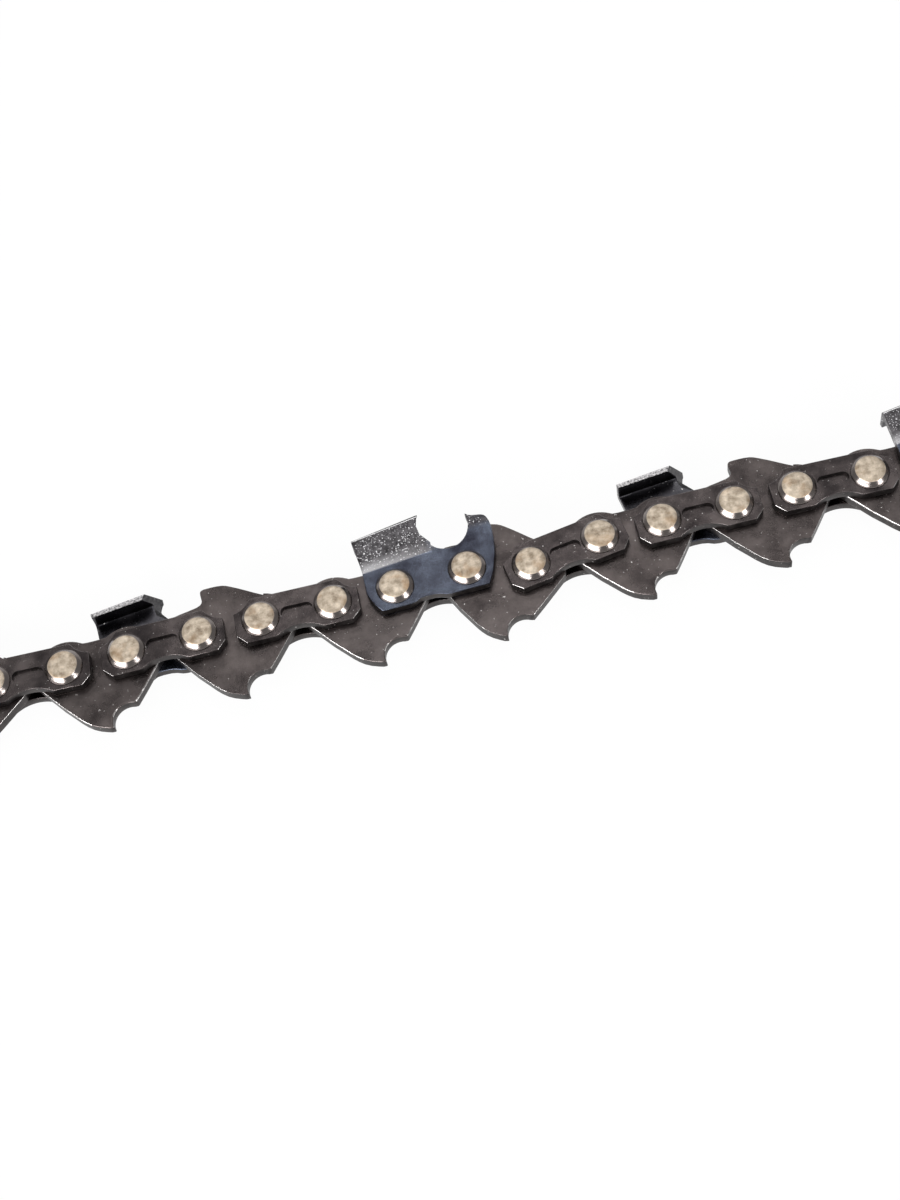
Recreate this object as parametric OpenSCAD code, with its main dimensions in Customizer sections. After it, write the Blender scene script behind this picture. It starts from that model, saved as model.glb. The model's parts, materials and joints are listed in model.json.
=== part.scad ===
// A cut length of chainsaw saw chain, lying on its side: 9 drive links joined by 8 riveted pairs of
// side plates. X runs along the chain the way it cuts, +Y is the cutting side and the tangs point
// to -Y. Z is the rivet axis. The origin is the middle of the open rivet hole in the first link.

/* [Chain] */
// distance between the two rivet holes of a drive link
drive_pitch = 7.65; // [6.3:0.05:9.2]
// distance between the two rivet holes of a side plate
strap_pitch = 8.86; // [8.4:0.02:10.7]
// thickness of a drive link, which sets the bar groove the chain runs in
gauge = 1.5; // [1.1:0.05:1.8]
// thickness of a tie strap or of a cutter's side plate
plate_t = 1.2; // [0.9:0.05:1.5]
// clearance between a drive link and the side plate on each side of it
side_gap = 0.05; // [0.03:0.01:0.10]

/* [Rivets] */
// diameter of the rivet's middle, which the drive links turn on
hub_d = 4.6; // [3.8:0.1:5.2]
// radial clearance between a rivet and a drive link
turn_gap = 0.05; // [0.02:0.01:0.10]
// diameter of the rivet where it passes through the side plates
shank_d = 3.3; // [2.7:0.1:3.6]
// diameter of the rivet head
head_d = 4.7; // [4.0:0.1:5.2]
// diameter of the flat on top of the rivet head
head_flat_d = 3.6; // [3.0:0.1:3.7]
// height of the rivet head above the side plate
head_h = 0.95; // [0.6:0.05:1.3]

/* [Tie straps] */
// length of a tie strap beyond each rivet
strap_end = 3.14; // [2.9:0.02:3.3]
// top edge of a tie strap above the rivet line
strap_top = 2.97; // [2.8:0.01:3.3]
// bottom edge of a side plate below the rivet line, the edge that slides on the bar rail
strap_foot = 2.81; // [2.6:0.01:3.2]
// how far the bottom edge rises in the middle of a tie strap
waist_rise = 0.93; // [0.4:0.01:1.2]
// radius of the scallop in each upper corner
scallop_r = 2.87; // [2.4:0.01:3.1]
// length of the pressed slot on a tie strap
slot_l = 3.9; // [2.6:0.1:4.1]
// width of the pressed slot
slot_w = 1.5; // [0.8:0.1:1.8]
// depth of the pressed slot
slot_deep = 0.45; // [0.1:0.05:0.6]

/* [Drive links] */
// radius of the round lobe about each rivet hole
lobe_r = 4.05; // [3.5:0.05:4.3]
// top edge of a plain drive link between its two lobes
saddle = 3.25; // [2.9:0.05:3.6]
// depth of the tang's point below the rivet line
tang_depth = 8.8; // [7.4:0.1:10.6]
// radius of the hook cut in the front of the tang
hook_r = 2.1; // [1.7:0.05:2.3]
// height of the bumper above the rivet line
bumper_top = 6.45; // [5.4:0.05:6.8]

/* [Cutters] */
// height of the cutting edge above the rivet line
cutter_top = 8.4; // [7.6:0.05:9.3]
// depth-gauge setting: how far the depth gauge stands below the cutting edge
gauge_set = 1.15; // [0.65:0.05:1.6]
// half width cut by the outer corner of the tooth
kerf_half = 3.2; // [2.6:0.05:3.6]
// thickness of the top plate
top_plate_t = 0.75; // [0.5:0.05:1.0]
// how far the free edge of the top plate reaches past the middle of the chain
top_reach = 0.2; // [-0.4:0.1:0.6]
// fall of the tooth from its cutting edge back to its heel, in degrees
relief = 7.6; // [0:0.5:10]
// filing angle of the cutting edge, in degrees
file_angle = 30; // [20:1:35]
// radius of the round file that shapes the cutting edge
file_r = 2.6; // [2.3:0.1:2.8]

/* [Hidden] */
// heading of each link in degrees, in order along the chain, as it lies
headings = [-12, -2, 0, 0, -1, -1.5, 0, 0.5, -12, 8.5, 0.5, -1, -1, -2, 0, 0, 0];
plate_in = gauge / 2 + side_gap;
plate_out = plate_in + plate_t;
strap_mid = strap_pitch / 2;
bend_line = 3.4;
nose_x = 4.93;
gauge_top = cutter_top - gauge_set;
steel = [0.35, 0.32, 0.31];
rivet_steel = [0.72, 0.67, 0.60];
$fn = 64;

// position of pin i, where link i starts
function link_length(i) = i % 2 == 0 ? drive_pitch : strap_pitch;
function pin_x(i) = i == 0 ? 0 : pin_x(i - 1) + link_length(i - 1) * cos(headings[i - 1]);
function pin_y(i) = i == 0 ? 0 : pin_y(i - 1) + link_length(i - 1) * sin(headings[i - 1]);

module on_pin(i) translate([pin_x(i), pin_y(i), 0]) children();
module on_link(i) on_pin(i) rotate([0, 0, headings[i]]) children();

// the same shape at both ends of a tie strap
module both_ends() {
    children();
    translate([strap_pitch, 0]) mirror([1, 0]) children();
}

// rivet: a wide hub for the drive link, a shank through both side plates and a head on each end
module rivet() rotate_extrude() polygon([
    [0, -plate_out - head_h],
    [head_flat_d / 2, -plate_out - head_h + 0.1],
    [head_d / 2, -plate_out - 0.35],
    [head_d / 2 - 0.05, -plate_out],
    [shank_d / 2, -plate_out],
    [shank_d / 2, -plate_in],
    [hub_d / 2, -plate_in],
    [hub_d / 2, plate_in],
    [shank_d / 2, plate_in],
    [shank_d / 2, plate_out],
    [head_d / 2 - 0.05, plate_out],
    [head_d / 2, plate_out + 0.35],
    [head_flat_d / 2, plate_out + head_h - 0.1],
    [0, plate_out + head_h]
]);

// outline of a tie strap, from its left rivet
module strap_outline() difference() {
    polygon([
        [-strap_end, -1.5],
        [-strap_end, strap_top],
        [strap_pitch + strap_end, strap_top],
        [strap_pitch + strap_end, -1.5],
        [strap_pitch + 2.0, -strap_foot],
        [-2.0, -strap_foot]
    ]);
    both_ends() translate([-3.6, 4.2]) circle(scallop_r);
    translate([strap_mid, -strap_foot + waist_rise - 5]) circle(5);
    both_ends() circle(d = shank_d);
}

// tie strap, its slot pressed into the outer face
module tie_strap() difference() {
    translate([0, 0, plate_in]) linear_extrude(plate_t) strap_outline();
    translate([strap_mid, 0.1, plate_out - slot_deep]) linear_extrude(slot_deep + 1) slot_outline();
}

module slot_outline() union() {
    square([slot_l - slot_w, slot_w], center = true);
    translate([slot_w / 2 - slot_l / 2, 0]) circle(d = slot_w);
    translate([slot_l / 2 - slot_w / 2, 0]) circle(d = slot_w);
}

// everything a drive link may fill: the two sides of the tang, its point and the hook in front
module tang_bounds() difference() {
    polygon([
        [-5, 10],
        [-5, 0.27],
        [-1.1, -0.529 * tang_depth],
        [1.3, -0.837 * tang_depth],
        [1.9, -0.901 * tang_depth],
        [2.7, -0.942 * tang_depth],
        [3.7, -0.983 * tang_depth],
        [4.6, -tang_depth],
        [drive_pitch + 0.1, -0.705 * tang_depth],
        [drive_pitch + 4.95, 0.16],
        [drive_pitch + 4.95, 10]
    ]);
    translate([6.65, -0.93 * tang_depth]) circle(hook_r);
    polygon([
        [6.65, -0.93 * tang_depth],
        [4.6, -tang_depth - 1],
        [drive_pitch + 2, -tang_depth - 1],
        [drive_pitch + 0.1, -0.705 * tang_depth]
    ]);
}

// outline of a plain drive link, and of a bumper link below its ramp
module drive_outline() difference() {
    intersection() {
        union() {
            circle(lobe_r);
            translate([drive_pitch, 0]) circle(lobe_r);
            translate([0, -1.5]) square([drive_pitch, saddle + 1.5]);
            translate([-5, -tang_depth - 1]) square([drive_pitch + 10, tang_depth - 0.5]);
        }
        tang_bounds();
    }
    circle(d = hub_d + 2 * turn_gap);
    translate([drive_pitch, 0]) circle(d = hub_d + 2 * turn_gap);
}

// outline of the ramp on a bumper link, down to where it meets the rest of the link
module bumper_outline() polygon([
    [-2.9, 2.6],
    [-3, 3.6],
    [-1, 3.95],
    [0, 4.15],
    [0.6, 4.4],
    [0.85, 4.7],
    [0.8, 5.8],
    [0.9, bumper_top - 0.15],
    [1.3, bumper_top],
    [3.4, bumper_top - 0.05],
    [3.9, bumper_top - 0.16],
    [4.4, bumper_top - 0.4],
    [drive_pitch + 0.85, 3.66],
    [drive_pitch - 0.1, 2.6]
]);

module plain_drive_link() translate([0, 0, -gauge / 2]) linear_extrude(gauge) drive_outline();

// drive link with a ramp on top, which leads wood past the depth gauge beside it
module bumper_drive_link() difference() {
    union() {
        plain_drive_link();
        translate([0, 0, -gauge / 2]) linear_extrude(gauge) bumper_outline();
    }
    press_mark();
    mirror([0, 0, 1]) press_mark();
}

// short groove pressed into the side of a bumper
module press_mark() translate([1.55, 4.3, gauge / 2 - 0.15]) rotate([0, 0, 28])
    linear_extrude(1) square([1.3, 0.35], center = true);

// flat part of a cutter: rear foot, gullet and depth gauge
module cutter_outline() polygon([
    [-3.5, bend_line],
    [-3.5, 0],
    [-3.2, -0.9],
    [-2.8, -1.8],
    [-2.1, -strap_foot],
    [1.2, -strap_foot],
    [strap_mid - 1.9, 0.5 - strap_foot],
    [strap_mid - 0.4, 0.5 - strap_foot],
    [strap_mid + 1.9, -strap_foot],
    [strap_pitch + 2.24, -strap_foot],
    [strap_pitch + 2.44, -2.2],
    [strap_pitch + 2.94, -1.3],
    [strap_pitch + 3.34, 0],
    [strap_pitch + 3.64, 0.9],
    [strap_pitch + 3.84, 0.25 * gauge_top],
    [strap_pitch + 4.04, 0.55 * gauge_top],
    [strap_pitch + 4.11, 0.68 * gauge_top],
    [strap_pitch + 3.98, gauge_top - 1.45],
    [strap_pitch + 3.7, gauge_top - 0.75],
    [strap_pitch + 2.5, gauge_top - 0.35],
    [strap_pitch + 1.47, gauge_top],
    [strap_pitch + 1.52, 0.89 * gauge_top],
    [strap_pitch + 1.47, 0.81 * gauge_top],
    [strap_pitch + 1.14, 0.68 * gauge_top],
    [strap_pitch + 0.84, 0.61 * gauge_top],
    [strap_pitch + 0.44, 0.55 * gauge_top],
    [strap_pitch - 0.06, 3.58],
    [strap_pitch - 0.66, 3.32],
    [strap_pitch - 1.26, 3.25],
    [7.05, 3.3],
    [6.5, 3.45],
    [6.05, 3.66],
    [5.75, 3.87],
    [5.5, 4.2],
    [5.2, bend_line]
]);

// all that lies inside the outer face of the tooth, seen along the chain: the side plate leans
// outwards above the bend line, so the tooth is narrower at its lower heel
module tooth_bounds() polygon([
    [-top_reach, 1],
    [plate_out, 1],
    [plate_out, bend_line],
    [kerf_half, cutter_top],
    [kerf_half, cutter_top + 1],
    [-top_reach, cutter_top + 1]
]);

// the leaning side plate, seen along the chain
module lean_section() polygon([
    [plate_in, 1],
    [plate_out, 1],
    [plate_out, bend_line],
    [kerf_half, cutter_top],
    [kerf_half - plate_t, cutter_top],
    [plate_in, bend_line]
]);

// side view of the tooth, from its heel to the top of the gullet, under the slope of its relief
module tooth_side() polygon([
    [-3.4, 1.6],
    [-3.9, cutter_top - (nose_x + 3.9) * tan(relief)],
    [5.2, cutter_top + (5.2 - nose_x) * tan(relief)],
    [5.2, 4.45],
    [5.5, 4.2],
    [5.73, 3.87],
    [5.2, 1.6]
]);

// an outline across the chain, in distance from the middle and height, run along the tooth
module along() translate([8, 0, 0]) rotate([0, -90, 0]) linear_extrude(14) children();

module cutter() difference() {
    union() {
        translate([0, 0, plate_in]) linear_extrude(plate_t) cutter_outline();
        intersection() {
            union() {
                along() lean_section();
                translate([nose_x, cutter_top, 0]) rotate([0, 0, relief])
                    translate([-12, -top_plate_t, -4]) cube([14, top_plate_t + 1, 8]);
            }
            along() tooth_bounds();
            translate([0, 0, -4]) linear_extrude(8) tooth_side();
        }
    }
    translate([nose_x + 2.5, cutter_top - 1.45, kerf_half]) rotate([0, file_angle, 0])
        cylinder(r = file_r, h = 18, center = true);
    cylinder(d = shank_d, h = 10);
    translate([strap_pitch, 0, 0]) cylinder(d = shank_d, h = 10);
}

module drive_link_1() color(steel) on_link(0) bumper_drive_link();
module drive_link_2() color(steel) on_link(2) plain_drive_link();
module drive_link_3() color(steel) on_link(4) bumper_drive_link();
module drive_link_4() color(steel) on_link(6) plain_drive_link();
module drive_link_5() color(steel) on_link(8) bumper_drive_link();
module drive_link_6() color(steel) on_link(10) plain_drive_link();
module drive_link_7() color(steel) on_link(12) bumper_drive_link();
module drive_link_8() color(steel) on_link(14) plain_drive_link();
module drive_link_9() color(steel) on_link(16) bumper_drive_link();
module tie_strap_1_upper() color(steel) on_link(1) tie_strap();
module tie_strap_1_lower() color(steel) on_link(1) mirror([0, 0, 1]) tie_strap();
module tie_strap_2_upper() color(steel) on_link(3) tie_strap();
module cutter_2_lower() color(steel) on_link(3) mirror([0, 0, 1]) cutter();
module tie_strap_3_upper() color(steel) on_link(5) tie_strap();
module tie_strap_3_lower() color(steel) on_link(5) mirror([0, 0, 1]) tie_strap();
module cutter_4_upper() color(steel) on_link(7) cutter();
module tie_strap_4_lower() color(steel) on_link(7) mirror([0, 0, 1]) tie_strap();
module tie_strap_5_upper() color(steel) on_link(9) tie_strap();
module tie_strap_5_lower() color(steel) on_link(9) mirror([0, 0, 1]) tie_strap();
module tie_strap_6_upper() color(steel) on_link(11) tie_strap();
module cutter_6_lower() color(steel) on_link(11) mirror([0, 0, 1]) cutter();
module tie_strap_7_upper() color(steel) on_link(13) tie_strap();
module tie_strap_7_lower() color(steel) on_link(13) mirror([0, 0, 1]) tie_strap();
module cutter_8_upper() color(steel) on_link(15) cutter();
module tie_strap_8_lower() color(steel) on_link(15) mirror([0, 0, 1]) tie_strap();
module rivet_1() color(rivet_steel) on_pin(1) rivet();
module rivet_2() color(rivet_steel) on_pin(2) rivet();
module rivet_3() color(rivet_steel) on_pin(3) rivet();
module rivet_4() color(rivet_steel) on_pin(4) rivet();
module rivet_5() color(rivet_steel) on_pin(5) rivet();
module rivet_6() color(rivet_steel) on_pin(6) rivet();
module rivet_7() color(rivet_steel) on_pin(7) rivet();
module rivet_8() color(rivet_steel) on_pin(8) rivet();
module rivet_9() color(rivet_steel) on_pin(9) rivet();
module rivet_10() color(rivet_steel) on_pin(10) rivet();
module rivet_11() color(rivet_steel) on_pin(11) rivet();
module rivet_12() color(rivet_steel) on_pin(12) rivet();
module rivet_13() color(rivet_steel) on_pin(13) rivet();
module rivet_14() color(rivet_steel) on_pin(14) rivet();
module rivet_15() color(rivet_steel) on_pin(15) rivet();
module rivet_16() color(rivet_steel) on_pin(16) rivet();

drive_link_1();
drive_link_2();
drive_link_3();
drive_link_4();
drive_link_5();
drive_link_6();
drive_link_7();
drive_link_8();
drive_link_9();
tie_strap_1_upper();
tie_strap_1_lower();
tie_strap_2_upper();
cutter_2_lower();
tie_strap_3_upper();
tie_strap_3_lower();
cutter_4_upper();
tie_strap_4_lower();
tie_strap_5_upper();
tie_strap_5_lower();
tie_strap_6_upper();
cutter_6_lower();
tie_strap_7_upper();
tie_strap_7_lower();
cutter_8_upper();
tie_strap_8_lower();
rivet_1();
rivet_2();
rivet_3();
rivet_4();
rivet_5();
rivet_6();
rivet_7();
rivet_8();
rivet_9();
rivet_10();
rivet_11();
rivet_12();
rivet_13();
rivet_14();
rivet_15();
rivet_16();
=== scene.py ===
import json
import math

import bmesh
import bpy
from mathutils import Matrix, Vector


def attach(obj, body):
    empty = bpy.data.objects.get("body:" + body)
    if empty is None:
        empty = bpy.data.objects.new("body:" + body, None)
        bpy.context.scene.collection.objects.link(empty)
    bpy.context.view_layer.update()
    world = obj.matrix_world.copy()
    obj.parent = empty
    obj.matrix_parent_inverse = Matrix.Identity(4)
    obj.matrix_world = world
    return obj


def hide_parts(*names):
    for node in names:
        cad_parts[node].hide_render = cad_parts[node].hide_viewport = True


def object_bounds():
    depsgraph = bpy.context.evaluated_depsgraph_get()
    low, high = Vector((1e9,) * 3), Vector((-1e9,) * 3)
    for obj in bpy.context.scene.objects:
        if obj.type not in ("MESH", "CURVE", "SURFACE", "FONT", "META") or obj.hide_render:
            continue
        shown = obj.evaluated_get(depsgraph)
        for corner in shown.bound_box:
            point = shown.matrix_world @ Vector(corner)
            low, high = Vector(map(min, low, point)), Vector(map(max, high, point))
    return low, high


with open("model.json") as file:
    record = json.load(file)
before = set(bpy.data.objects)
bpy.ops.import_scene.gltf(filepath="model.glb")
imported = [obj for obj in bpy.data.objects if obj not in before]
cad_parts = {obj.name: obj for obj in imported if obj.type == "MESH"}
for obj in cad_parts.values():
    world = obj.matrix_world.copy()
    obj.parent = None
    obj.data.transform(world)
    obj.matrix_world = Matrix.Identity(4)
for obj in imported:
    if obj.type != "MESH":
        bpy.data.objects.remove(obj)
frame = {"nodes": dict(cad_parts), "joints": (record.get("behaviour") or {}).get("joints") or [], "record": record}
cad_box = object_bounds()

# Drive links. Each is stamped from 1.5 mm hardened steel plate, turned brown-grey by its heat
# treatment and filmed with oil, with rounded edges and two rivet holes. A pointed tang runs in the
# groove of a guide bar. Every second link has a ramp on top.
mm = 0.001
link_half = 0.75
hub_hole = 2.35
link_edge = 0.17
lobe_r = 4.05
plan_span = 20
joints = {joint["name"]: joint["pos_m"] for joint in frame["joints"]}
ends = {mount["name"]: mount["pos_m"] for mount in frame["record"]["mounts"] if "pos_m" in mount}
pins = [Vector(ends["start_bore"])]
pins += [Vector(joints["rivet_turn_%d" % i]) for i in range(1, 17)]
pins += [Vector(ends["end_bore"])]
drive_pitch = (pins[1] - pins[0]).length / mm


def arc(x, y, radius, start, stop, count):
    steps = [math.radians(start + (stop - start) * i / (count - 1)) for i in range(count)]
    return [(x + radius * math.cos(a), y + radius * math.sin(a)) for a in steps]


def only(piece):
    bpy.ops.object.select_all(action="DESELECT")
    piece.select_set(True)
    bpy.context.view_layer.objects.active = piece


def shape(piece, kind, **settings):
    only(piece)
    step = piece.modifiers.new(kind.title(), kind)
    for key, value in settings.items():
        setattr(step, key, value)
    bpy.ops.object.modifier_apply(modifier=step.name)


def cut(piece, tool):
    shape(piece, "BOOLEAN", operation="DIFFERENCE", solver="EXACT", object=tool)
    bpy.data.objects.remove(tool)


# A flat plate from its outline, between two heights above the chain's middle plane.
def blank(name, outline, low, high):
    bpy.ops.object.select_all(action="DESELECT")
    bpy.ops.mesh.primitive_circle_add(vertices=len(outline), radius=mm, fill_type="NGON")
    piece = bpy.context.object
    piece.name = name
    for vertex, (x, y) in zip(piece.data.vertices, outline):
        vertex.co = (x * mm, y * mm, low * mm)
    bpy.ops.object.mode_set(mode="EDIT")
    bpy.ops.mesh.select_all(action="SELECT")
    bpy.ops.mesh.extrude_region_move(TRANSFORM_OT_translate={"value": (0, 0, (high - low) * mm)})
    bpy.ops.mesh.select_all(action="SELECT")
    bpy.ops.mesh.normals_make_consistent(inside=False)
    bpy.ops.object.mode_set(mode="OBJECT")
    return piece


def drill(piece, x, radius):
    bpy.ops.object.select_all(action="DESELECT")
    bpy.ops.mesh.primitive_cylinder_add(
        vertices=64, radius=radius * mm, depth=12 * mm, location=(x * mm, 0, 0)
    )
    cut(piece, bpy.context.object)


def soften(piece, width, segments=3, angle=34):
    shape(
        piece,
        "BEVEL",
        width=width * mm,
        segments=segments,
        limit_method="ANGLE",
        angle_limit=math.radians(angle),
        use_clamp_overlap=True,
        miter_outer="MITER_ARC",
    )


# A UV map that lays the plate's own length and height flat, for patterns that follow its outline.
def plan_map(piece):
    layer = piece.data.uv_layers.get("plan") or piece.data.uv_layers.new(name="plan")
    for loop in piece.data.loops:
        place = piece.data.vertices[loop.vertex_index].co
        layer.data[loop.index].uv = (place.x / mm / plan_span, place.y / mm / plan_span)


# A copy of the finished plate on its own two pins, turned over for the far side.
def fit(master, name, link, far=False):
    piece = master.copy()
    piece.data = master.data.copy()
    piece.name = name
    bpy.context.collection.objects.link(piece)
    along = pins[link + 1] - pins[link]
    turn = Matrix.Rotation(math.atan2(along.y, along.x), 4, "Z")
    side = Matrix.Diagonal((1, 1, -1 if far else 1, 1))
    piece.data.transform(Matrix.Translation(pins[link]) @ turn @ side)
    if far:
        piece.data.flip_normals()
    only(piece)
    bpy.ops.object.shade_smooth_by_angle(angle=math.radians(40))
    shape(piece, "WEIGHTED_NORMAL", mode="FACE_AREA", weight=80, keep_sharp=True)
    return piece


def lobe(x, start, stop, count):
    return arc(x, 0, lobe_r, start, stop, count)


tang = [
    (-3.78, -1.2),
    (-3.2, -1.95),
    (-2.1, -3.3),
    (-1.1, -4.6),
    (0.1, -5.95),
    (0.8, -6.75),
    (1.35, -7.3),
    (2.0, -7.83),
    (2.75, -8.25),
    (3.55, -8.56),
    (4.1, -8.74),
]
hook = arc(6.65, -8.18, 2.1, 196, 73, 14)
front = [(drive_pitch + 0.05, -6.2), (drive_pitch + 1.2, -4.75), (drive_pitch + 3.66, -1.52)]
plain_top = [(5.25, 3.3), (4.6, 3.25), (3.8, 3.24), (3.0, 3.25), (2.4, 3.3)]
plain_outline = (
    tang + hook + front + lobe(drive_pitch, -17, 122, 20) + plain_top + lobe(0, 58, 192, 20)
)
bumper_top = [
    (drive_pitch + 0.7, 3.8),
    (7.4, 4.33),
    (6.4, 4.93),
    (5.5, 5.46),
    (4.6, 5.95),
    (4.1, 6.2),
    (3.6, 6.36),
    (2.9, 6.44),
    (2.1, 6.45),
    (1.3, 6.42),
    (0.95, 6.3),
    (0.82, 6.1),
    (0.8, 5.75),
    (0.84, 5.25),
    (0.86, 4.85),
    (0.77, 4.58),
    (0.55, 4.36),
    (0.1, 4.17),
    (-1, 3.95),
    (-2, 3.78),
    (-2.8, 3.6),
    (-3.02, 3.35),
    (-3.1, 2.75),
]
bumper_outline = (
    tang + hook + front + lobe(drive_pitch, -17, 80, 14) + bumper_top + lobe(0, 141, 192, 9)
)
plain_link = blank("plain_link", plain_outline, -link_half, link_half)
bumper_link = blank("bumper_link", bumper_outline, -link_half, link_half)
for link_plate in (plain_link, bumper_link):
    drill(link_plate, 0, hub_hole)
    drill(link_plate, drive_pitch, hub_hole)
    soften(link_plate, link_edge)


# Steel finishes share three effects: blotches left by heat and oil, fine pits and scratches, and
# sparse bright specks, which are painted glints.
def steel_blotch():
    group = bpy.data.node_groups.new("steel_blotch", "ShaderNodeTree")
    for name, kind, way in (
        ("Vector", "NodeSocketVector", "INPUT"),
        ("Size", "NodeSocketFloat", "INPUT"),
        ("Dark", "NodeSocketColor", "INPUT"),
        ("Light", "NodeSocketColor", "INPUT"),
        ("Colour", "NodeSocketColor", "OUTPUT"),
        ("Gloss", "NodeSocketFloat", "OUTPUT"),
    ):
        group.interface.new_socket(name=name, in_out=way, socket_type=kind)
    nodes, wires = group.nodes, group.links
    inward = nodes.new("NodeGroupInput")
    outward = nodes.new("NodeGroupOutput")
    blotch = nodes.new("ShaderNodeTexNoise")
    blotch.inputs["Detail"].default_value = 6
    blotch.inputs["Roughness"].default_value = 0.62
    wires.new(inward.outputs["Vector"], blotch.inputs["Vector"])
    wires.new(inward.outputs["Size"], blotch.inputs["Scale"])
    spread = nodes.new("ShaderNodeMapRange")
    spread.inputs["From Min"].default_value = 0.32
    spread.inputs["From Max"].default_value = 0.68
    wires.new(blotch.outputs["Fac"], spread.inputs["Value"])
    blend = nodes.new("ShaderNodeMix")
    blend.data_type = "RGBA"
    wires.new(spread.outputs["Result"], blend.inputs["Factor"])
    wires.new(inward.outputs["Dark"], blend.inputs["A"])
    wires.new(inward.outputs["Light"], blend.inputs["B"])
    wires.new(blend.outputs["Result"], outward.inputs["Colour"])
    wires.new(spread.outputs["Result"], outward.inputs["Gloss"])
    return group


def fine_pits():
    group = bpy.data.node_groups.new("fine_pits", "ShaderNodeTree")
    for name, kind, way in (
        ("Vector", "NodeSocketVector", "INPUT"),
        ("Grain", "NodeSocketFloat", "INPUT"),
        ("Height", "NodeSocketFloat", "OUTPUT"),
    ):
        group.interface.new_socket(name=name, in_out=way, socket_type=kind)
    nodes, wires = group.nodes, group.links
    inward = nodes.new("NodeGroupInput")
    outward = nodes.new("NodeGroupOutput")
    grain = nodes.new("ShaderNodeTexNoise")
    grain.inputs["Detail"].default_value = 4
    grain.inputs["Roughness"].default_value = 0.7
    wires.new(inward.outputs["Vector"], grain.inputs["Vector"])
    wires.new(inward.outputs["Grain"], grain.inputs["Scale"])
    wave = nodes.new("ShaderNodeTexNoise")
    wave.inputs["Scale"].default_value = 260
    wave.inputs["Detail"].default_value = 2
    wires.new(inward.outputs["Vector"], wave.inputs["Vector"])
    both = nodes.new("ShaderNodeMath")
    both.operation = "MULTIPLY_ADD"
    both.inputs[1].default_value = 0.35
    wires.new(grain.outputs["Fac"], both.inputs[0])
    wires.new(wave.outputs["Fac"], both.inputs[2])
    wires.new(both.outputs["Value"], outward.inputs["Height"])
    return group


# Painted glints: sparse bright specks where a fine noise passes a level.
def painted_glint_specks():
    group = bpy.data.node_groups.new("painted_glint_specks", "ShaderNodeTree")
    for name, kind, way in (
        ("Vector", "NodeSocketVector", "INPUT"),
        ("Size", "NodeSocketFloat", "INPUT"),
        ("Level", "NodeSocketFloat", "INPUT"),
        ("Mask", "NodeSocketFloat", "OUTPUT"),
    ):
        group.interface.new_socket(name=name, in_out=way, socket_type=kind)
    nodes, wires = group.nodes, group.links
    inward = nodes.new("NodeGroupInput")
    outward = nodes.new("NodeGroupOutput")
    spark = nodes.new("ShaderNodeTexNoise")
    spark.inputs["Detail"].default_value = 1
    wires.new(inward.outputs["Vector"], spark.inputs["Vector"])
    wires.new(inward.outputs["Size"], spark.inputs["Scale"])
    full = nodes.new("ShaderNodeMath")
    full.operation = "ADD"
    full.inputs[1].default_value = 0.08
    wires.new(inward.outputs["Level"], full.inputs[0])
    sparse = nodes.new("ShaderNodeMapRange")
    wires.new(spark.outputs["Fac"], sparse.inputs["Value"])
    wires.new(inward.outputs["Level"], sparse.inputs["From Min"])
    wires.new(full.outputs["Value"], sparse.inputs["From Max"])
    wires.new(sparse.outputs["Result"], outward.inputs["Mask"])
    return group


blotch_effect = steel_blotch()
pit_effect = fine_pits()
glint_effect = painted_glint_specks()


def steel(name, dark, light, size, gloss, grain, bump, oil, metal=1.0):
    made = bpy.data.materials.new(name)
    made.use_nodes = True
    nodes, wires = made.node_tree.nodes, made.node_tree.links
    shader = nodes["Principled BSDF"]
    shader.inputs["Metallic"].default_value = metal
    shader.inputs["Coat Weight"].default_value = oil
    shader.inputs["Coat Roughness"].default_value = 0.12
    place = nodes.new("ShaderNodeTexCoord")
    blotch = nodes.new("ShaderNodeGroup")
    blotch.node_tree = blotch_effect
    blotch.inputs["Size"].default_value = size
    blotch.inputs["Dark"].default_value = (*dark, 1)
    blotch.inputs["Light"].default_value = (*light, 1)
    wires.new(place.outputs["Object"], blotch.inputs["Vector"])
    # Painted glints: sparse bright specks mixed into the base colour.
    glint_speck = nodes.new("ShaderNodeGroup")
    glint_speck.node_tree = glint_effect
    glint_speck.inputs["Size"].default_value = 3300
    glint_speck.inputs["Level"].default_value = 0.73
    wires.new(place.outputs["Object"], glint_speck.inputs["Vector"])
    glint_specked = nodes.new("ShaderNodeMix")
    glint_specked.data_type = "RGBA"
    glint_specked.inputs["B"].default_value = (0.8, 0.77, 0.75, 1)
    wires.new(glint_speck.outputs["Mask"], glint_specked.inputs["Factor"])
    wires.new(blotch.outputs["Colour"], glint_specked.inputs["A"])
    wires.new(glint_specked.outputs["Result"], shader.inputs["Base Color"])
    rough = nodes.new("ShaderNodeMapRange")
    rough.inputs["To Min"].default_value = gloss[0]
    rough.inputs["To Max"].default_value = gloss[1]
    wires.new(blotch.outputs["Gloss"], rough.inputs["Value"])
    wires.new(rough.outputs["Result"], shader.inputs["Roughness"])
    pits = nodes.new("ShaderNodeGroup")
    pits.node_tree = pit_effect
    pits.inputs["Grain"].default_value = grain
    wires.new(place.outputs["Object"], pits.inputs["Vector"])
    relief = nodes.new("ShaderNodeBump")
    relief.inputs["Strength"].default_value = bump
    relief.inputs["Distance"].default_value = 0.00012
    wires.new(pits.outputs["Height"], relief.inputs["Height"])
    wires.new(relief.outputs["Normal"], shader.inputs["Normal"])
    return made


drive_finish = steel(
    "drive_steel", (0.060, 0.049, 0.048), (0.150, 0.127, 0.122), 240, (0.22, 0.36), 2600, 0.4, 0.4
)
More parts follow.
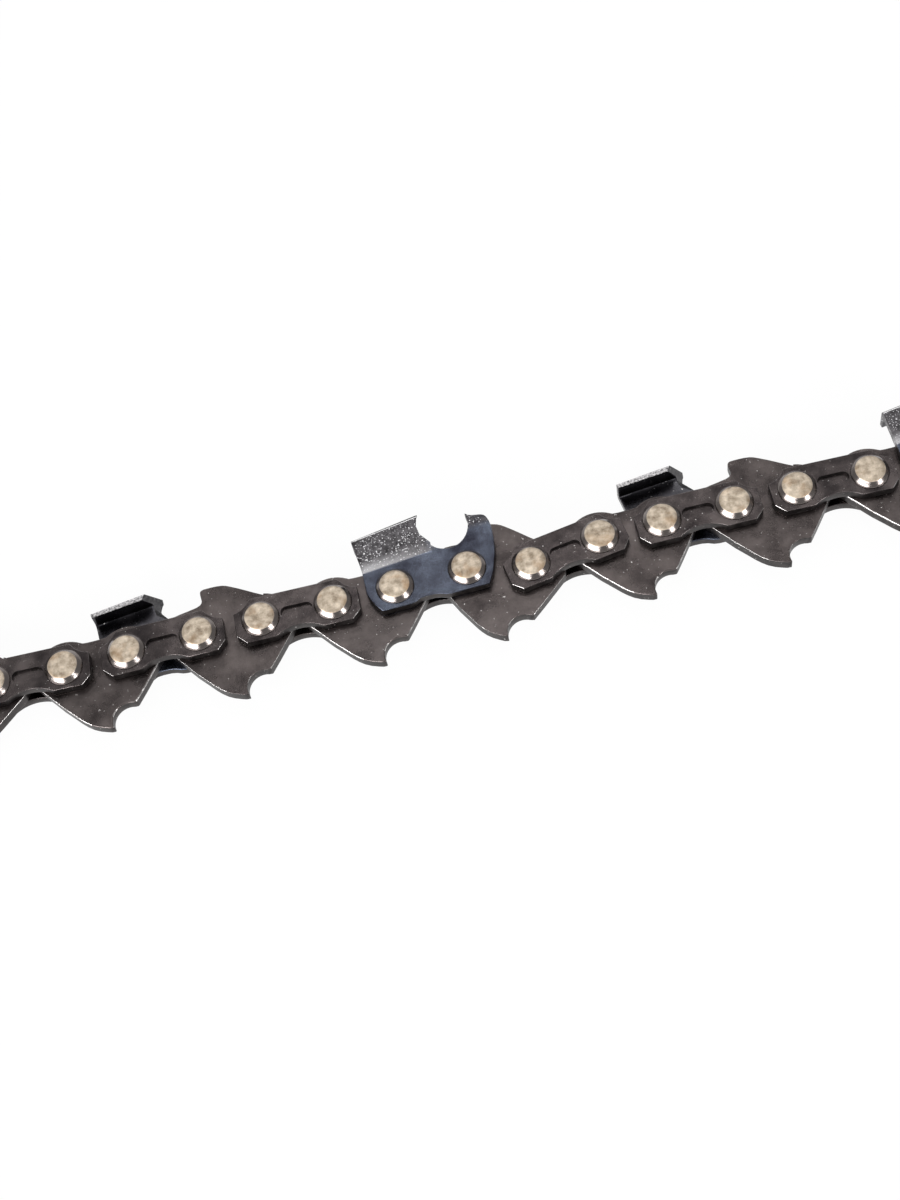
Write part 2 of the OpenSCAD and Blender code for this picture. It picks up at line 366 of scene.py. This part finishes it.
# Sheared walls: rougher, and darker partly from the shear surface and partly as painted shade.
sheared_wall_shade_finish = steel(
    "sheared_wall_painted_shade", (0.030, 0.027, 0.027), (0.085, 0.077, 0.075), 900, (0.34, 0.5), 3000, 0.5, 0.0
)
# Painted highlight: pale colour for the rounded lower-corner edges that face the front lamps.
edge_highlight_finish = steel(
    "painted_edge_highlight", (0.20, 0.185, 0.18), (0.86, 0.83, 0.82), 1400, (0.2, 0.32), 3000, 0.4, 0.3
)
steep = 0.2


# The walls stay rough from the shears and are painted darker as shade; the lower corners' rounded edges carry a
# painted highlight.
def dress(piece, face_finish):
    for finish in (face_finish, sheared_wall_shade_finish, edge_highlight_finish):
        piece.data.materials.append(finish)
    for face in piece.data.polygons:
        across = math.hypot(face.normal.x, face.normal.y)
        corner = abs(face.normal.x) > 0.6 * across and face.normal.y < -0.4 * across
        # Walls take the darker sheared finish with its painted shade; lamp-facing lower-corner edges take the
        # painted highlight.
        if abs(face.normal.z) < steep:
            face.material_index = 1
        elif corner and steep < face.normal.z < 0.9:
            face.material_index = 2


for link_plate in (plain_link, bumper_link):
    plan_map(link_plate)
    dress(link_plate, drive_finish)
for i in range(9):
    node = "drive_link_%d" % (i + 1)
    piece = fit(bumper_link if i % 2 == 0 else plain_link, "steel_" + node, 2 * i)
    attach(piece, "drive_%d" % (i + 1))
    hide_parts(node)
bpy.data.objects.remove(plain_link)
bpy.data.objects.remove(bumper_link)

# Tie straps. Each is stamped from 1.2 mm steel plate and joins two drive links, with its lower
# edge, waisted in the middle, sliding on the bar rail. A slot is pressed into its outer face, and
# both upper corners are scalloped to clear the next cutter.
strap_pitch = (pins[2] - pins[1]).length / mm
strap_end = 3.14
strap_top = 2.97
strap_foot = -2.81
strap_edge = 0.32
plate_in = 0.8
plate_out = 2.0
shank_hole = 1.65
slot_reach = 1.2
slot_r = 0.75
slot_floor = 1.55


def strap_half():
    edge = [(-2.0, strap_foot), (-strap_end + 0.03, -1.66), (-strap_end, -1.45), (-strap_end, 1.3)]
    edge += arc(-3.6, 4.2, 2.87, -80, -32, 9)
    return edge + [(-0.95, strap_top - 0.06), (-0.7, strap_top)]


left_half = strap_half()
right_half = [(strap_pitch - x, y) for x, y in reversed(left_half)]
waist = arc(strap_pitch / 2, -6.88, 5.0, 55, 125, 21)
tie_strap = blank("tie_strap", left_half + right_half + waist, plate_in, plate_out)
drill(tie_strap, 0, shank_hole)
drill(tie_strap, strap_pitch, shank_hole)
soften(tie_strap, strap_edge, 4)
slot_press = blank(
    "slot_press",
    arc(strap_pitch / 2 + slot_reach, 0.1, slot_r, -90, 90, 16)
    + arc(strap_pitch / 2 - slot_reach, 0.1, slot_r, 90, 270, 16),
    slot_floor,
    plate_out + 0.4,
)
bpy.ops.object.mode_set(mode="EDIT")
bpy.ops.mesh.select_all(action="DESELECT")
shown = bmesh.from_edit_mesh(slot_press.data)
for face in shown.faces:
    face.select_set(face.normal.z < -0.9)
bpy.ops.transform.resize(value=(0.9, 0.62, 1))
bpy.ops.mesh.bevel(offset=0.2 * mm, segments=4, affect="EDGES")
bpy.ops.object.mode_set(mode="OBJECT")
cut(tie_strap, slot_press)
bpy.ops.object.mode_set(mode="EDIT")
bpy.ops.mesh.select_all(action="SELECT")
bpy.ops.mesh.remove_doubles(threshold=0.004 * mm)
bpy.ops.object.mode_set(mode="OBJECT")
plan_map(tie_strap)
strap_finish = steel(
    "strap_steel", (0.040, 0.031, 0.032), (0.135, 0.113, 0.110), 280, (0.16, 0.32), 2200, 0.45, 0.6
)
dress(tie_strap, strap_finish)
for i in range(8):
    for far in (False, True):
        node = "tie_strap_%d_%s" % (i + 1, "lower" if far else "upper")
        if node in frame["nodes"]:
            piece = fit(tie_strap, "steel_" + node, 2 * i + 1, far)
            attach(piece, "pair_%d" % (i + 1))
            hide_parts(node)
bpy.data.objects.remove(tie_strap)

# Cutters. Each is a side plate with a depth gauge in front and a tooth behind, whose plate leans
# outwards and is folded over into a top plate. Hard chrome leaves the tooth grey and grainy, and a
# round file has ground its front edge. They stand on the near side and the far side by turns.
cutter_top = 8.4
kerf_half = 3.2
bend_line = 3.4
gauge_top = 7.25
cutter_edge = 0.12
tooth_edge = 0.05
nose_x = 4.93
heel_x = -3.45
heel_rake = 0.42 / 4.6
side_taper = 0.034
relief_slope = math.tan(math.radians(7.6))
file_r = 2.6
file_ahead = 2.5
file_below = 1.45
file_angle = math.radians(30)
gullet_back = 5.4
foot = [
    (5.45, 4.25),
    (5.1, 4.05),
    (4.2, 3.75),
    (3.2, bend_line),
    (heel_x, bend_line - 0.1),
    (-3.5, 0.1),
    (-3.4, -0.4),
    (-3.2, -0.9),
    (-2.8, -1.8),
    (-2.1, strap_foot),
    (1.2, strap_foot),
    (2.0, -2.68),
    (2.6, -2.36),
    (3.3, -2.3),
    (4.3, -2.32),
    (5.0, -2.45),
    (5.7, -2.72),
    (6.3, strap_foot),
    (11.0, strap_foot),
    (11.3, -2.25),
    (11.8, -1.3),
    (12.2, 0),
    (12.5, 0.9),
    (12.7, 1.8),
    (12.86, 3.0),
    (12.94, 4.0),
    (12.96, 4.9),
    (12.87, 5.6),
    (12.68, 6.2),
    (12.45, 6.5),
    (12.1, 6.68),
    (11.5, 6.8),
    (11.0, 6.9),
    (10.6, 7.06),
    (10.24, gauge_top + 0.15),
    (10.28, 6.95),
    (10.37, 6.4),
    (10.32, 5.85),
    (10.19, 5.35),
    (9.99, 4.88),
    (9.7, 4.4),
    (9.3, 3.95),
    (8.8, 3.58),
    (8.2, 3.33),
    (7.6, 3.25),
    (7.05, 3.3),
    (6.5, 3.45),
    (6.05, 3.66),
    (5.72, 3.92),
]
cutter = blank("cutter", list(reversed(foot)), plate_in, plate_out)
drill(cutter, 0, shank_hole)
drill(cutter, strap_pitch, shank_hole)
soften(cutter, cutter_edge)


# How far forward the tooth reaches where a round file, held at its angle, has ground it.
def file_edge(height, out):
    drop = (height - (cutter_top - file_below)) / file_r
    reach = file_r / math.cos(file_angle) * math.sqrt(max(0.0, 1 - drop * drop))
    axis = nose_x + file_ahead + (out - kerf_half) * math.tan(file_angle)
    return min(gullet_back, axis - reach)


# The tooth's section across the chain: up the outside, over the top plate and down the inside.
# Each point gives how far out it is, then how high.
section = [
    (1.99, 2.9),
    (2.0, 3.22),
    (2.05, bend_line + 0.12),
    (2.28, 4.5),
    (2.6, 5.8),
    (2.86, 6.85),
    (3.08, 7.68),
    (3.14, 7.86),
    (3.12, 8.0),
    (2.7, cutter_top),
    (1.9, cutter_top),
    (0.8, cutter_top),
    (-0.08, cutter_top),
    (-0.17, 8.37),
    (-0.2, 8.3),
    (-0.2, 7.75),
    (-0.16, 7.67),
    (0.0, 7.65),
    (0.9, 7.65),
    (1.45, 7.61),
    (1.7, 7.42),
    (1.74, 7.1),
    (1.62, 6.5),
    (1.42, 5.7),
    (1.12, 4.5),
    (0.85, bend_line + 0.12),
    (0.81, 2.9),
]
stations = 22
bpy.ops.object.select_all(action="DESELECT")
bpy.ops.mesh.primitive_grid_add(x_subdivisions=stations - 1, y_subdivisions=len(section), size=mm)
tooth = bpy.context.object
for k, vertex in enumerate(tooth.data.vertices):
    i, j = k % stations, k // stations
    out, height = section[j % len(section)]
    nose = file_edge(height, out)
    heel = heel_x - heel_rake * max(0.0, height - bend_line)
    x = heel + (nose - heel) * (i / (stations - 1)) ** 0.9
    if height > bend_line:
        rise = (height - bend_line) / (cutter_top - bend_line)
        height -= (nose_x - x) * relief_slope * rise
        if out > plate_out:
            out -= (nose_x - x) * side_taper * rise
    vertex.co = (x * mm, height * mm, out * mm)
bpy.ops.object.mode_set(mode="EDIT")
bpy.ops.mesh.select_all(action="SELECT")
bpy.ops.mesh.remove_doubles(threshold=0.01 * mm)
bpy.ops.mesh.select_all(action="DESELECT")
bpy.ops.mesh.select_non_manifold()
bpy.ops.mesh.edge_face_add()
bpy.ops.object.mode_set(mode="OBJECT")
soften(tooth, tooth_edge, 2, 50)
only(cutter)
tooth.select_set(True)
bpy.ops.object.join()
plan_map(cutter)


# Blue-black steel on the foot, and hard chrome above the bend line and on the gauge's tip: dark,
# with bright grains that are painted glints, and a painted highlight along the bend.
def chrome_finish():
    made = bpy.data.materials.new("cutter_chrome")
    made.use_nodes = True
    nodes, wires = made.node_tree.nodes, made.node_tree.links
    shader = nodes["Principled BSDF"]
    shader.inputs["Metallic"].default_value = 1
    shader.inputs["Coat Weight"].default_value = 0.3
    shader.inputs["Coat Roughness"].default_value = 0.15
    place = nodes.new("ShaderNodeTexCoord")
    plan = nodes.new("ShaderNodeUVMap")
    plan.uv_map = "plan"
    split = nodes.new("ShaderNodeSeparateXYZ")
    wires.new(plan.outputs["UV"], split.inputs["Vector"])
    tilt = nodes.new("ShaderNodeMath")
    tilt.operation = "MULTIPLY_ADD"
    tilt.inputs[1].default_value = -0.0875
    wires.new(split.outputs["X"], tilt.inputs[0])
    wires.new(split.outputs["Y"], tilt.inputs[2])
    foot_blotch = nodes.new("ShaderNodeGroup")
    foot_blotch.node_tree = blotch_effect
    foot_blotch.inputs["Size"].default_value = 300
    foot_blotch.inputs["Dark"].default_value = (0.026, 0.026, 0.040, 1)
    foot_blotch.inputs["Light"].default_value = (0.135, 0.155, 0.205, 1)
    wires.new(place.outputs["Object"], foot_blotch.inputs["Vector"])
    plate_blotch = nodes.new("ShaderNodeGroup")
    plate_blotch.node_tree = blotch_effect
    plate_blotch.inputs["Size"].default_value = 1500
    plate_blotch.inputs["Dark"].default_value = (0.022, 0.020, 0.022, 1)
    plate_blotch.inputs["Light"].default_value = (0.13, 0.122, 0.13, 1)
    wires.new(place.outputs["Object"], plate_blotch.inputs["Vector"])
    # Painted glints: sparse bright grains in the chrome.
    glint_speck = nodes.new("ShaderNodeGroup")
    glint_speck.node_tree = glint_effect
    glint_speck.inputs["Size"].default_value = 5200
    glint_speck.inputs["Level"].default_value = 0.625
    wires.new(place.outputs["Object"], glint_speck.inputs["Vector"])
    # Painted highlight along the bend line, strongest at the heel and fading towards the nose.
    streak = nodes.new("ShaderNodeMapRange")
    streak.inputs["From Min"].default_value = 4.5 / plan_span
    streak.inputs["From Max"].default_value = 3.1 / plan_span
    wires.new(tilt.outputs["Value"], streak.inputs["Value"])
    fading = nodes.new("ShaderNodeMapRange")
    fading.inputs["From Min"].default_value = 4.6 / plan_span
    fading.inputs["From Max"].default_value = -3.0 / plan_span
    fading.inputs["To Min"].default_value = 0.1
    fading.inputs["To Max"].default_value = 0.62
    wires.new(split.outputs["X"], fading.inputs["Value"])
    bend_highlight = nodes.new("ShaderNodeMath")
    bend_highlight.operation = "MULTIPLY"
    wires.new(streak.outputs["Result"], bend_highlight.inputs[0])
    wires.new(fading.outputs["Result"], bend_highlight.inputs[1])
    bright = nodes.new("ShaderNodeMath")
    bright.operation = "MAXIMUM"
    wires.new(glint_speck.outputs["Mask"], bright.inputs[0])
    wires.new(bend_highlight.outputs["Value"], bright.inputs[1])
    chrome = nodes.new("ShaderNodeMix")
    chrome.data_type = "RGBA"
    chrome.inputs["B"].default_value = (0.82, 0.81, 0.83, 1)
    wires.new(bright.outputs["Value"], chrome.inputs["Factor"])
    wires.new(plate_blotch.outputs["Colour"], chrome.inputs["A"])
    rise = nodes.new("ShaderNodeMapRange")
    rise.inputs["From Min"].default_value = 2.90 / plan_span
    rise.inputs["From Max"].default_value = 3.15 / plan_span
    wires.new(tilt.outputs["Value"], rise.inputs["Value"])
    back = nodes.new("ShaderNodeMapRange")
    back.inputs["From Min"].default_value = 6.4 / plan_span
    back.inputs["From Max"].default_value = 4.6 / plan_span
    wires.new(split.outputs["X"], back.inputs["Value"])
    grey = nodes.new("ShaderNodeMath")
    grey.operation = "MULTIPLY"
    wires.new(rise.outputs["Result"], grey.inputs[0])
    wires.new(back.outputs["Result"], grey.inputs[1])
    colour = nodes.new("ShaderNodeMix")
    colour.data_type = "RGBA"
    wires.new(grey.outputs["Value"], colour.inputs["Factor"])
    wires.new(foot_blotch.outputs["Colour"], colour.inputs["A"])
    wires.new(chrome.outputs["Result"], colour.inputs["B"])
    tip = nodes.new("ShaderNodeMapRange")
    tip.inputs["From Min"].default_value = 5.0 / plan_span
    tip.inputs["From Max"].default_value = 5.7 / plan_span
    tip.inputs["To Max"].default_value = 0.9
    wires.new(split.outputs["Y"], tip.inputs["Value"])
    faded = nodes.new("ShaderNodeMix")
    faded.data_type = "RGBA"
    wires.new(chrome.outputs["Result"], faded.inputs["B"])
    wires.new(tip.outputs["Result"], faded.inputs["Factor"])
    wires.new(colour.outputs["Result"], faded.inputs["A"])
    ahead = nodes.new("ShaderNodeMath")
    ahead.operation = "GREATER_THAN"
    ahead.inputs[1].default_value = 9.0 / plan_span
    wires.new(split.outputs["X"], ahead.inputs[0])
    final = nodes.new("ShaderNodeMix")
    final.data_type = "RGBA"
    wires.new(ahead.outputs["Value"], final.inputs["Factor"])
    wires.new(colour.outputs["Result"], final.inputs["A"])
    wires.new(faded.outputs["Result"], final.inputs["B"])
    wires.new(final.outputs["Result"], shader.inputs["Base Color"])
    rough = nodes.new("ShaderNodeMapRange")
    rough.inputs["To Min"].default_value = 0.24
    rough.inputs["To Max"].default_value = 0.42
    wires.new(grey.outputs["Value"], rough.inputs["Value"])
    wires.new(rough.outputs["Result"], shader.inputs["Roughness"])
    pits = nodes.new("ShaderNodeGroup")
    pits.node_tree = pit_effect
    pits.inputs["Grain"].default_value = 3600
    wires.new(place.outputs["Object"], pits.inputs["Vector"])
    relief = nodes.new("ShaderNodeBump")
    relief.inputs["Strength"].default_value = 0.5
    relief.inputs["Distance"].default_value = 0.00015
    wires.new(pits.outputs["Height"], relief.inputs["Height"])
    wires.new(relief.outputs["Normal"], shader.inputs["Normal"])
    return made


# After the plate's own finish come those of the tooth's other faces: its dark inside, the filed
# front, the grainy free edge of the top plate, a painted highlight along the outer fold, and
# painted shade on the upward faces above it.
plate_finish = chrome_finish()
inside_finish = steel(
    "cutter_inside",
    (0.026, 0.025, 0.030),
    (0.065, 0.062, 0.070),
    500,
    (0.22, 0.34),
    2400,
    0.3,
    0.3,
)
ground_finish = steel(
    "ground_edge", (0.045, 0.044, 0.047), (0.16, 0.155, 0.16), 2600, (0.42, 0.55), 5200, 0.4, 0.0
)
free_edge_finish = steel(
    "plate_edge", (0.04, 0.04, 0.043), (0.80, 0.78, 0.79), 4200, (0.3, 0.45), 5200, 0.5, 0.2
)
# Painted highlight: pale colour on the rounded outer corner of the fold.
fold_highlight_finish = steel(
    "painted_fold_highlight", (0.62, 0.61, 0.62), (0.85, 0.84, 0.85), 2600, (0.3, 0.4), 3000, 0.1, 0.0
)
# Painted shade: near-black colour on the upward faces of the top plate.
top_shade_finish = steel(
    "painted_top_shade", (0.008, 0.008, 0.009), (0.02, 0.02, 0.02), 900, (0.8, 0.9), 3000, 0.1, 0.0, 0.0
)
cutter.data.materials.clear()
for finish in (
    plate_finish,
    inside_finish,
    ground_finish,
    free_edge_finish,
    sheared_wall_shade_finish,
    fold_highlight_finish,
    top_shade_finish,
):
    cutter.data.materials.append(finish)
inside_slot, ground_slot, free_edge_slot, wall_slot, fold_highlight_slot, top_shade_slot = range(1, 7)
gauge_start = 6
for face in cutter.data.polygons:
    x, y, z = face.center / mm
    normal = face.normal
    on_tooth = x < gauge_start
    face.material_index = 0
    if abs(normal.z) < steep and (y < bend_line or x > gauge_start):
        face.material_index = wall_slot
    # Painted highlight on the fold's rounded corner, painted shade on the upward faces above it.
    if on_tooth and y > 5.5 and 0.1 < normal.y < 0.6 and normal.z > 0.6:
        face.material_index = fold_highlight_slot
    if on_tooth and y > 5.5 and normal.y > 0.6:
        face.material_index = top_shade_slot
    if on_tooth and y > bend_line + 0.2 and normal.z < 0.1 and abs(normal.x) < 0.5:
        face.material_index = inside_slot
    if on_tooth and y > 4.2 and normal.x > 0.55:
        face.material_index = ground_slot
    if on_tooth and y > 5 and z < -0.1 and abs(normal.x) < 0.5:
        face.material_index = free_edge_slot
for i in range(8):
    for far in (False, True):
        node = "cutter_%d_%s" % (i + 1, "lower" if far else "upper")
        if node in frame["nodes"]:
            piece = fit(cutter, "steel_" + node, 2 * i + 1, far)
            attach(piece, "pair_%d" % (i + 1))
            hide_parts(node)
bpy.data.objects.remove(cutter)

# Rivets. Each is turned steel with a wide middle for the drive links to turn on. Its ends are spun
# over into steep-sided heads, whose tops are left bare and satin, pale and a little stained.
head_top = 2.945
crown_r = 0.55
shoulder_top = 2.905
shoulder_r = 1.05
shell = [
    (1.45, 2.84),
    (1.68, 2.77),
    (1.78, 2.71),
    (1.86, 2.62),
    (1.98, 2.5),
    (2.16, 2.33),
    (2.28, 2.19),
    (2.33, 2.1),
    (2.33, 2.03),
    (2.28, 1.985),
    (shank_hole, 1.98),
    (shank_hole, plate_in),
    (2.24, plate_in),
    (2.3, 0.74),
]
shell += [(radius, -z) for radius, z in reversed(shell)]
bpy.ops.object.select_all(action="DESELECT")
bpy.ops.mesh.primitive_circle_add(
    vertices=64, radius=crown_r * mm, fill_type="TRIFAN", location=(0, 0, head_top * mm)
)
rivet = bpy.context.object
bpy.ops.object.transform_apply(location=True)
bpy.ops.object.mode_set(mode="EDIT")
rings = [(shoulder_r, shoulder_top)] + shell + [(shoulder_r, -shoulder_top), (crown_r, -head_top)]
width, level = crown_r, head_top
bpy.ops.mesh.select_all(action="DESELECT")
bpy.ops.mesh.select_mode(type="EDGE")
bpy.ops.mesh.select_non_manifold()
for radius, z in rings:
    bpy.ops.mesh.extrude_region_move(TRANSFORM_OT_translate={"value": (0, 0, (z - level) * mm)})
    bpy.ops.transform.resize(value=(radius / width, radius / width, 1))
    width, level = radius, z
bpy.ops.mesh.edge_face_add()
bpy.ops.mesh.select_mode(type="VERT")
bpy.ops.mesh.select_all(action="SELECT")
bpy.ops.mesh.normals_make_consistent(inside=False)
bpy.ops.object.mode_set(mode="OBJECT")
layer = rivet.data.uv_layers.get("plan") or rivet.data.uv_layers.new(name="plan")
for loop in rivet.data.loops:
    place = rivet.data.vertices[loop.vertex_index].co
    across = math.hypot(place.x, place.y)
    layer.data[loop.index].uv = (across / mm / plan_span, abs(place.z) / mm / plan_span)


def rivet_finish():
    made = bpy.data.materials.new("rivet_steel")
    made.use_nodes = True
    nodes, wires = made.node_tree.nodes, made.node_tree.links
    shader = nodes["Principled BSDF"]
    shader.inputs["Coat Weight"].default_value = 0.15
    shader.inputs["Coat Roughness"].default_value = 0.2
    place = nodes.new("ShaderNodeTexCoord")
    plan = nodes.new("ShaderNodeUVMap")
    plan.uv_map = "plan"
    split = nodes.new("ShaderNodeSeparateXYZ")
    wires.new(plan.outputs["UV"], split.inputs["Vector"])
    flat = nodes.new("ShaderNodeMapRange")
    flat.inputs["From Min"].default_value = 2.64 / plan_span
    flat.inputs["From Max"].default_value = 2.72 / plan_span
    wires.new(split.outputs["Y"], flat.inputs["Value"])
    pale = nodes.new("ShaderNodeGroup")
    pale.node_tree = blotch_effect
    pale.inputs["Size"].default_value = 1100
    pale.inputs["Dark"].default_value = (0.23, 0.175, 0.12, 1)
    pale.inputs["Light"].default_value = (0.70, 0.60, 0.48, 1)
    wires.new(place.outputs["Object"], pale.inputs["Vector"])
    stain = nodes.new("ShaderNodeTexNoise")
    stain.inputs["Scale"].default_value = 420
    stain.inputs["Detail"].default_value = 3
    wires.new(place.outputs["Object"], stain.inputs["Vector"])
    rust = nodes.new("ShaderNodeMapRange")
    rust.inputs["From Min"].default_value = 0.52
    rust.inputs["From Max"].default_value = 0.72
    rust.inputs["To Max"].default_value = 0.6
    wires.new(stain.outputs["Fac"], rust.inputs["Value"])
    aged = nodes.new("ShaderNodeMix")
    aged.data_type = "RGBA"
    aged.inputs["B"].default_value = (0.44, 0.27, 0.14, 1)
    wires.new(rust.outputs["Result"], aged.inputs["Factor"])
    wires.new(pale.outputs["Colour"], aged.inputs["A"])
    colour = nodes.new("ShaderNodeMix")
    colour.data_type = "RGBA"
    colour.inputs["A"].default_value = (0.20, 0.175, 0.165, 1)
    wires.new(flat.outputs["Result"], colour.inputs["Factor"])
    wires.new(aged.outputs["Result"], colour.inputs["B"])
    wires.new(colour.outputs["Result"], shader.inputs["Base Color"])
    metal = nodes.new("ShaderNodeMapRange")
    metal.inputs["To Min"].default_value = 1
    metal.inputs["To Max"].default_value = 0.55
    wires.new(flat.outputs["Result"], metal.inputs["Value"])
    wires.new(metal.outputs["Result"], shader.inputs["Metallic"])
    rough = nodes.new("ShaderNodeMapRange")
    rough.inputs["To Min"].default_value = 0.2
    rough.inputs["To Max"].default_value = 0.5
    wires.new(flat.outputs["Result"], rough.inputs["Value"])
    wires.new(rough.outputs["Result"], shader.inputs["Roughness"])
    pits = nodes.new("ShaderNodeGroup")
    pits.node_tree = pit_effect
    pits.inputs["Grain"].default_value = 3000
    wires.new(place.outputs["Object"], pits.inputs["Vector"])
    relief = nodes.new("ShaderNodeBump")
    relief.inputs["Strength"].default_value = 0.35
    relief.inputs["Distance"].default_value = 0.0001
    wires.new(pits.outputs["Height"], relief.inputs["Height"])
    wires.new(relief.outputs["Normal"], shader.inputs["Normal"])
    return made


rivet.data.materials.append(rivet_finish())
for i in range(1, 17):
    node = "rivet_%d" % i
    piece = fit(rivet, "steel_" + node, i)
    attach(piece, "pair_%d" % ((i + 1) // 2))
    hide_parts(node)
bpy.data.objects.remove(rivet)

# Studio: a plain white sheet under the chain, soft lamps round it, and the camera looking down on
# it from the tang side, rolled so that the chain rises to the right.
table = cad_box[0][2]
bpy.ops.object.select_all(action="DESELECT")
bpy.ops.mesh.primitive_circle_add(vertices=96, radius=4, fill_type="NGON", location=(0, 0, table))
sheet = bpy.context.object
sheet.name = "studio_floor"
bpy.ops.object.transform_apply(location=True)
white = bpy.data.materials.new("white_sheet")
white.use_nodes = True
nodes, wires = white.node_tree.nodes, white.node_tree.links
paper = nodes["Principled BSDF"]
paper.inputs["Base Color"].default_value = (0.92, 0.92, 0.92, 1)
paper.inputs["Roughness"].default_value = 0.9
glow = nodes.new("ShaderNodeEmission")
seen = nodes.new("ShaderNodeLightPath")
either = nodes.new("ShaderNodeMath")
either.operation = "MAXIMUM"
wires.new(seen.outputs["Is Camera Ray"], either.inputs[0])
wires.new(seen.outputs["Is Glossy Ray"], either.inputs[1])
any_seen = nodes.new("ShaderNodeMath")
any_seen.operation = "MAXIMUM"
wires.new(either.outputs["Value"], any_seen.inputs[0])
wires.new(seen.outputs["Is Transmission Ray"], any_seen.inputs[1])
share = nodes.new("ShaderNodeMath")
share.operation = "MULTIPLY"
share.inputs[1].default_value = 0.96
wires.new(any_seen.outputs["Value"], share.inputs[0])
mixed = nodes.new("ShaderNodeMixShader")
wires.new(share.outputs["Value"], mixed.inputs["Fac"])
wires.new(paper.outputs["BSDF"], mixed.inputs[1])
wires.new(glow.outputs["Emission"], mixed.inputs[2])
wires.new(mixed.outputs["Shader"], nodes["Material Output"].inputs["Surface"])
sheet.data.materials.append(white)

world = bpy.data.worlds.new("studio")
bpy.context.scene.world = world
world.use_nodes = True
nodes, wires = world.node_tree.nodes, world.node_tree.links
sky = nodes["Background"]
sky.inputs["Color"].default_value = (1, 1, 1, 1)
path = nodes.new("ShaderNodeLightPath")
level = nodes.new("ShaderNodeMapRange")
level.inputs["To Min"].default_value = 0.4
level.inputs["To Max"].default_value = 1.0
wires.new(path.outputs["Is Camera Ray"], level.inputs["Value"])
wires.new(level.outputs["Result"], sky.inputs["Strength"])

# Lamp: name, place, width, depth and watts.
middle = Vector((62.95 * mm, -4.82 * mm, 0))
for name, place, width, depth, power in (
    ("lamp_front_left", (-0.61, -0.57, 0.4), 1.0, 0.32, 11.8),
    ("lamp_front_right", (0.6, -0.57, 0.32), 0.22, 0.22, 2.8),
    ("lamp_back", (0.1, 0.5, 0.42), 0.7, 0.22, 1.0),
    ("lamp_top", (0.12, 0.1, 0.7), 0.4, 0.35, 0.8),
):
    lamp = bpy.data.lights.new(name, "AREA")
    lamp.shape = "RECTANGLE"
    lamp.size, lamp.size_y, lamp.energy = width, depth, power
    holder = bpy.data.objects.new(name, lamp)
    bpy.context.collection.objects.link(holder)
    holder.location = place
    holder.rotation_euler = (middle - Vector(place)).to_track_quat("-Z", "Y").to_euler()

elevation, roll = math.radians(62), math.radians(14.19)
distance = 238.8 * mm
forward = Vector((0, math.cos(elevation), -math.sin(elevation)))
upright = Vector((0, math.sin(elevation), math.cos(elevation)))
right = Vector((1, 0, 0)) * math.cos(roll) - upright * math.sin(roll)
up = Vector((1, 0, 0)) * math.sin(roll) + upright * math.cos(roll)
lens = bpy.data.cameras.new("camera")
lens.lens, lens.sensor_width, lens.clip_start, lens.clip_end = 60, 36, 0.01, 50
camera = bpy.data.objects.new("camera", lens)
bpy.context.collection.objects.link(camera)
turn = Matrix((right, up, -forward)).transposed()
camera.matrix_world = Matrix.Translation(middle - forward * distance) @ turn.to_4x4()
bpy.context.scene.camera = camera
bpy.context.scene.view_settings.view_transform = "Standard"
